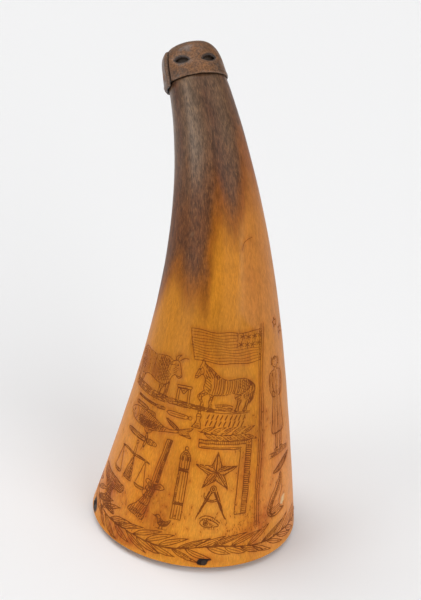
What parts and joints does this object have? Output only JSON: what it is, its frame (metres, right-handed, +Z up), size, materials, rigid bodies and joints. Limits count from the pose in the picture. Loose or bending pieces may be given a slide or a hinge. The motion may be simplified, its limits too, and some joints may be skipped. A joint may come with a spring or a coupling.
{
  "type": "powder horn",
  "caption": "Hollow carved powder horn with a turned wooden base plug held by pegs and a moulded leather cap over its spout.",
  "frame": {"origin": "middle of the flat underside of the base plug, on the surface that the horn stands on", "axes": "+Z up from the base, -Y towards the carved front, the tip leans back to +Y and a little to -X"},
  "size_m": [0.0844, 0.1021, 0.1922],
  "materials": {
    "aged_horn": "polished amber cattle horn, darker towards the tip, with shallow brown-inked engraving",
    "turned_wood": "turned hardwood, oiled and worn",
    "dark_wood": "stained hardwood pegs, flush",
    "moulded_leather": "hard moulded leather, worn and lightly waxed"
  },
  "bodies": {
    "root": {"horn": "aged_horn", "base_plug": "turned_wood", "rim_peg_front": "dark_wood", "rim_peg_right": "dark_wood", "rim_peg_back": "dark_wood", "rim_peg_left": "dark_wood", "tip_cap": "moulded_leather"}
  },
  "joints": []
}
